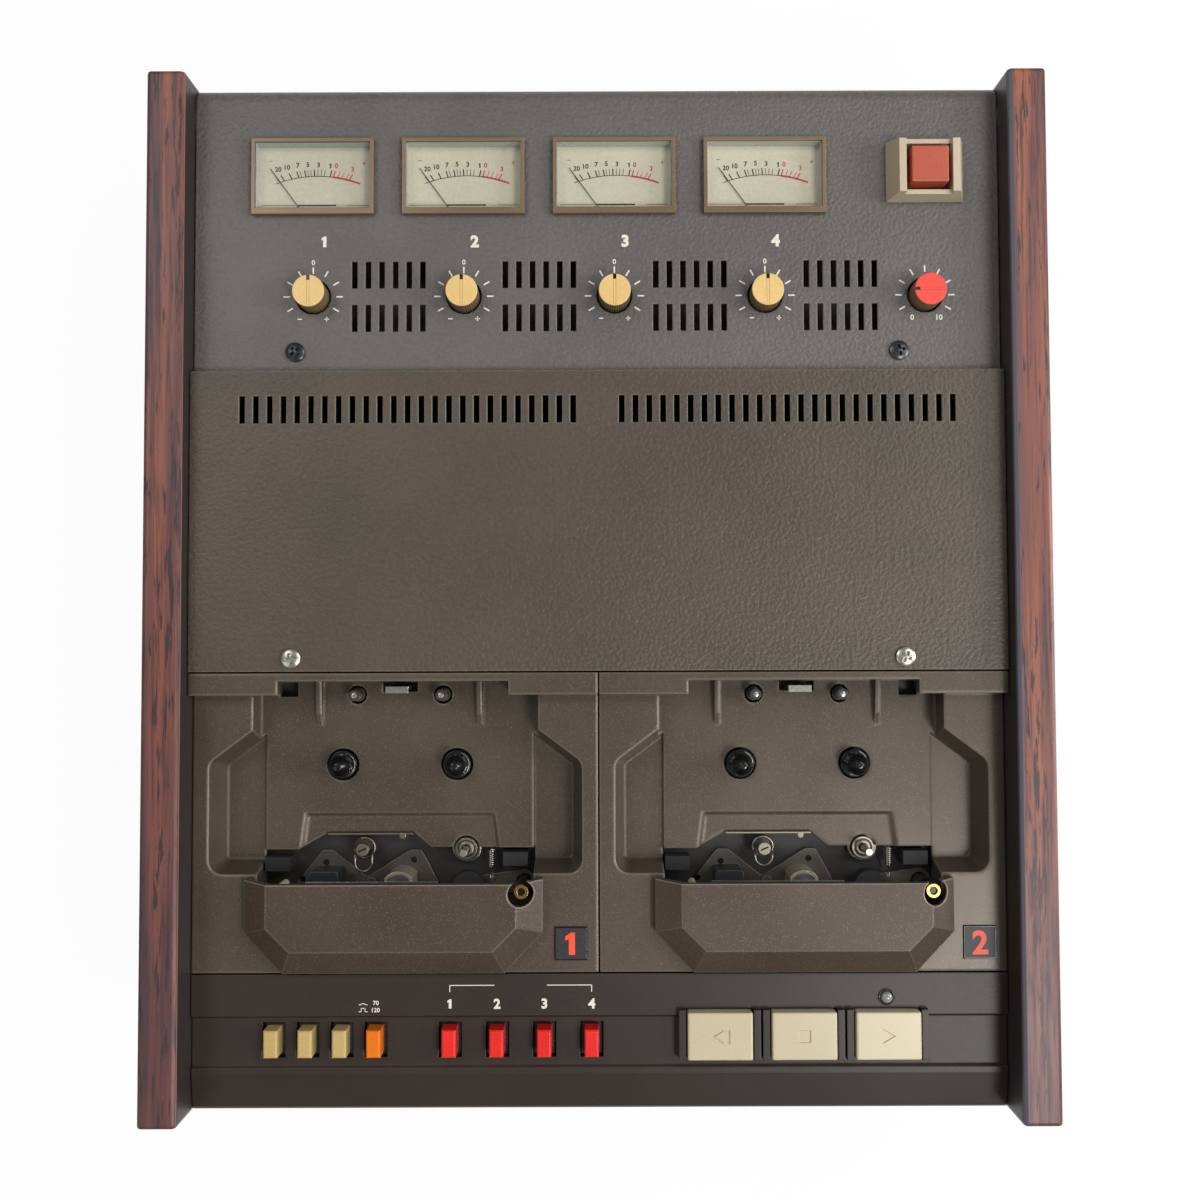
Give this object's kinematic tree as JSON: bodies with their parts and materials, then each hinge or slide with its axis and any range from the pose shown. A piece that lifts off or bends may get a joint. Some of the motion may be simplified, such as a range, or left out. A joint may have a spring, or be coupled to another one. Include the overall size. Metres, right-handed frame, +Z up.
{
  "type": "cassette duplicator",
  "caption": "Desktop cassette copier with wooden sides, level meters, level knobs, two cassette wells with spindles, heads and pinch rollers, piano keys and push buttons",
  "frame": {"origin": "centre of the bounding box on the plane that the feet stand on", "axes": "+X to the right along the front edge, +Y from the control panel to the rear, +Z up"},
  "size_m": [0.324, 0.3764, 0.112],
  "materials": {
    "rosewood": "satin varnished veneer with dark grain",
    "textured_paint": "grey-brown orange-peel paint on sheet steel",
    "bronze_paint": "moulded plastic with bronze-brown fleck paint",
    "black_plastic": "satin black moulded plastic",
    "guard_paint": "satin grey-brown plastic",
    "cream_plastic": "satin cream moulded plastic",
    "golden_cap": "golden-cream knob cap over a black fluted skirt",
    "orange_plastic": "orange moulded plastic",
    "red_plastic": "red moulded plastic",
    "power_red": "brick-red moulded plastic",
    "meter_bezel": "brown-gold moulded plastic",
    "needle_black": "black painted aluminium",
    "bright_steel": "ground bright steel",
    "grey_steel": "grey plated steel",
    "zinc_steel": "zinc-plated sheet steel",
    "dark_steel": "blackened steel",
    "rubber": "black rubber",
    "roller_rubber": "ground black rubber",
    "board_laminate": "brown phenolic circuit board"
  },
  "bodies": {
    "chassis": {"cheek_left": "rosewood", "cheek_right": "rosewood", "foot_front_left": "rubber", "foot_front_right": "rubber", "foot_rear_left": "rubber", "foot_rear_right": "rubber", "drive_belt": "rubber", "chassis_tray": "zinc_steel", "rear_panel": "zinc_steel", "meter_panel": "textured_paint", "mid_cover": "textured_paint", "control_panel": "black_plastic", "power_guard": "guard_paint", "circuit_board": "board_laminate", "transformer": "dark_steel", "capstan_motor": "grey_steel", "meter_1": "meter_bezel", "meter_2": "meter_bezel", "meter_3": "meter_bezel", "meter_4": "meter_bezel", "deck_plate_master": "bronze_paint", "head_cover_master": "bronze_paint", "transport_frame_master": "dark_steel", "deck_plate_slave": "bronze_paint", "head_cover_slave": "bronze_paint", "transport_frame_slave": "dark_steel"},
    "power_button": {"power_button": "power_red"},
    "motor_pulley": {"motor_pulley": "bright_steel"},
    "monitor_knob": {"monitor_knob": "red_plastic"},
    "needle_1": {"needle_1": "needle_black"},
    "track_knob_1": {"track_knob_1": "golden_cap"},
    "record_button_1": {"record_button_1": "red_plastic"},
    "needle_2": {"needle_2": "needle_black"},
    "track_knob_2": {"track_knob_2": "golden_cap"},
    "record_button_2": {"record_button_2": "red_plastic"},
    "needle_3": {"needle_3": "needle_black"},
    "track_knob_3": {"track_knob_3": "golden_cap"},
    "record_button_3": {"record_button_3": "red_plastic"},
    "needle_4": {"needle_4": "needle_black"},
    "track_knob_4": {"track_knob_4": "golden_cap"},
    "record_button_4": {"record_button_4": "red_plastic"},
    "mode_button_1": {"mode_button_1": "cream_plastic"},
    "mode_button_2": {"mode_button_2": "cream_plastic"},
    "mode_button_3": {"mode_button_3": "cream_plastic"},
    "equaliser_button": {"equaliser_button": "orange_plastic"},
    "rewind_key": {"rewind_key": "cream_plastic"},
    "stop_key": {"stop_key": "cream_plastic"},
    "copy_key": {"copy_key": "cream_plastic"},
    "supply_spindle_master": {"supply_spindle_master": "black_plastic"},
    "takeup_spindle_master": {"takeup_spindle_master": "black_plastic"},
    "capstan_master": {"capstan_master": "bright_steel"},
    "head_carriage_master": {"head_carriage_master": "grey_steel"},
    "pinch_arm_master": {"pinch_arm_master": "grey_steel"},
    "pinch_roller_master": {"pinch_roller_master": "roller_rubber"},
    "supply_spindle_slave": {"supply_spindle_slave": "black_plastic"},
    "takeup_spindle_slave": {"takeup_spindle_slave": "black_plastic"},
    "capstan_slave": {"capstan_slave": "bright_steel"},
    "head_carriage_slave": {"head_carriage_slave": "grey_steel"},
    "pinch_arm_slave": {"pinch_arm_slave": "grey_steel"},
    "pinch_roller_slave": {"pinch_roller_slave": "roller_rubber"}
  },
  "joints": [
    {"name": "head_carriage_master_slide", "type": "slide", "parent": "chassis", "child": "head_carriage_master", "axis": [0, 1, 0], "range_m": [0, 0.005], "stiffness_N_per_m": 100},
    {"name": "pinch_arm_master_swing", "type": "hinge", "parent": "chassis", "child": "pinch_arm_master", "pos_m": [-0.028, -0.1079, 0.0826], "axis": [0, 0, -1], "range_deg": [0, 17.3]},
    {"name": "pinch_roller_master_spin", "type": "hinge", "parent": "pinch_arm_master", "child": "pinch_roller_master", "pos_m": [-0.0482, -0.1085, 0.0876], "axis": [0, 0, 1], "continuous": true},
    {"name": "head_carriage_slave_slide", "type": "slide", "parent": "chassis", "child": "head_carriage_slave", "axis": [0, 1, 0], "range_m": [0, 0.005], "stiffness_N_per_m": 100},
    {"name": "pinch_arm_slave_swing", "type": "hinge", "parent": "chassis", "child": "pinch_arm_slave", "pos_m": [0.12, -0.1079, 0.0826], "axis": [0, 0, -1], "range_deg": [0, 17.3]},
    {"name": "pinch_roller_slave_spin", "type": "hinge", "parent": "pinch_arm_slave", "child": "pinch_roller_slave", "pos_m": [0.0998, -0.1085, 0.0876], "axis": [0, 0, 1], "continuous": true},
    {"name": "needle_1_swing", "type": "hinge", "parent": "chassis", "child": "needle_1", "pos_m": [-0.1042, 0.13392, 0.0985], "axis": [0, 0, -1], "range_deg": [0, 71], "stiffness_Nm_per_rad": 0.00001},
    {"name": "needle_2_swing", "type": "hinge", "parent": "chassis", "child": "needle_2", "pos_m": [-0.0489, 0.13392, 0.0985], "axis": [0, 0, -1], "range_deg": [0, 71], "stiffness_Nm_per_rad": 0.00001},
    {"name": "needle_3_swing", "type": "hinge", "parent": "chassis", "child": "needle_3", "pos_m": [0.0064, 0.13392, 0.0985], "axis": [0, 0, -1], "range_deg": [0, 71], "stiffness_Nm_per_rad": 0.00001},
    {"name": "needle_4_swing", "type": "hinge", "parent": "chassis", "child": "needle_4", "pos_m": [0.0617, 0.13392, 0.0985], "axis": [0, 0, -1], "range_deg": [0, 71], "stiffness_Nm_per_rad": 0.00001},
    {"name": "track_knob_1_turn", "type": "hinge", "parent": "chassis", "child": "track_knob_1", "pos_m": [-0.1042, 0.1087, 0.1006], "axis": [0, 0, -1], "range_deg": [-150, 150]},
    {"name": "track_knob_2_turn", "type": "hinge", "parent": "chassis", "child": "track_knob_2", "pos_m": [-0.0489, 0.1087, 0.1006], "axis": [0, 0, -1], "range_deg": [-150, 150]},
    {"name": "track_knob_3_turn", "type": "hinge", "parent": "chassis", "child": "track_knob_3", "pos_m": [0.0064, 0.1087, 0.1006], "axis": [0, 0, -1], "range_deg": [-150, 150]},
    {"name": "track_knob_4_turn", "type": "hinge", "parent": "chassis", "child": "track_knob_4", "pos_m": [0.0617, 0.1087, 0.1006], "axis": [0, 0, -1], "range_deg": [-150, 150]},
    {"name": "monitor_knob_turn", "type": "hinge", "parent": "chassis", "child": "monitor_knob", "pos_m": [0.1204, 0.1087, 0.1006], "axis": [0, 0, -1], "range_deg": [-60, 240]},
    {"name": "power_button_press", "type": "slide", "parent": "chassis", "child": "power_button", "axis": [0, 0, -1], "range_m": [0, 0.004], "stiffness_N_per_m": 400},
    {"name": "rewind_key_press", "type": "slide", "parent": "chassis", "child": "rewind_key", "axis": [0, 0, -1], "range_m": [0, 0.003], "stiffness_N_per_m": 300},
    {"name": "stop_key_press", "type": "slide", "parent": "chassis", "child": "stop_key", "axis": [0, 0, -1], "range_m": [0, 0.003], "stiffness_N_per_m": 300},
    {"name": "copy_key_press", "type": "slide", "parent": "chassis", "child": "copy_key", "axis": [0, 0, -1], "range_m": [0, 0.003], "stiffness_N_per_m": 300},
    {"name": "supply_spindle_master_spin", "type": "hinge", "parent": "chassis", "child": "supply_spindle_master", "pos_m": [-0.09525, -0.0636, 0.0876], "axis": [0, 0, 1], "continuous": true},
    {"name": "takeup_spindle_master_spin", "type": "hinge", "parent": "chassis", "child": "takeup_spindle_master", "pos_m": [-0.05275, -0.0636, 0.0876], "axis": [0, 0, 1], "continuous": true},
    {"name": "supply_spindle_slave_spin", "type": "hinge", "parent": "chassis", "child": "supply_spindle_slave", "pos_m": [0.05275, -0.0636, 0.0876], "axis": [0, 0, 1], "continuous": true},
    {"name": "takeup_spindle_slave_spin", "type": "hinge", "parent": "chassis", "child": "takeup_spindle_slave", "pos_m": [0.09525, -0.0636, 0.0876], "axis": [0, 0, 1], "continuous": true},
    {"name": "capstan_master_spin", "type": "hinge", "parent": "chassis", "child": "capstan_master", "pos_m": [-0.0495, -0.0952, 0.0876], "axis": [0, 0, 1], "continuous": true},
    {"name": "capstan_slave_spin", "type": "hinge", "parent": "chassis", "child": "capstan_slave", "pos_m": [0.0985, -0.0952, 0.0876], "axis": [0, 0, 1], "continuous": true},
    {"name": "motor_pulley_spin", "type": "hinge", "parent": "chassis", "child": "motor_pulley", "pos_m": [0, -0.0452, 0.0566], "axis": [0, 0, 1], "continuous": true},
    {"name": "mode_button_1_press", "type": "slide", "parent": "chassis", "child": "mode_button_1", "axis": [0, 0, -1], "range_m": [0, 0.003], "stiffness_N_per_m": 250},
    {"name": "mode_button_2_press", "type": "slide", "parent": "chassis", "child": "mode_button_2", "axis": [0, 0, -1], "range_m": [0, 0.003], "stiffness_N_per_m": 250},
    {"name": "mode_button_3_press", "type": "slide", "parent": "chassis", "child": "mode_button_3", "axis": [0, 0, -1], "range_m": [0, 0.003], "stiffness_N_per_m": 250},
    {"name": "equaliser_button_press", "type": "slide", "parent": "chassis", "child": "equaliser_button", "axis": [0, 0, -1], "range_m": [0, 0.003], "stiffness_N_per_m": 250},
    {"name": "record_button_1_press", "type": "slide", "parent": "chassis", "child": "record_button_1", "axis": [0, 0, -1], "range_m": [0, 0.003], "stiffness_N_per_m": 250},
    {"name": "record_button_2_press", "type": "slide", "parent": "chassis", "child": "record_button_2", "axis": [0, 0, -1], "range_m": [0, 0.003], "stiffness_N_per_m": 250},
    {"name": "record_button_3_press", "type": "slide", "parent": "chassis", "child": "record_button_3", "axis": [0, 0, -1], "range_m": [0, 0.003], "stiffness_N_per_m": 250},
    {"name": "record_button_4_press", "type": "slide", "parent": "chassis", "child": "record_button_4", "axis": [0, 0, -1], "range_m": [0, 0.003], "stiffness_N_per_m": 250}
  ],
  "couplings": [
    {"joint": "pinch_arm_master_swing", "follows": "head_carriage_master_slide", "rad_per_m": 60.4},
    {"joint": "pinch_arm_slave_swing", "follows": "head_carriage_slave_slide", "rad_per_m": 60.4},
    {"joint": "capstan_slave_spin", "follows": "capstan_master_spin", "ratio": 1},
    {"joint": "motor_pulley_spin", "follows": "capstan_master_spin", "ratio": 5.5}
  ]
}
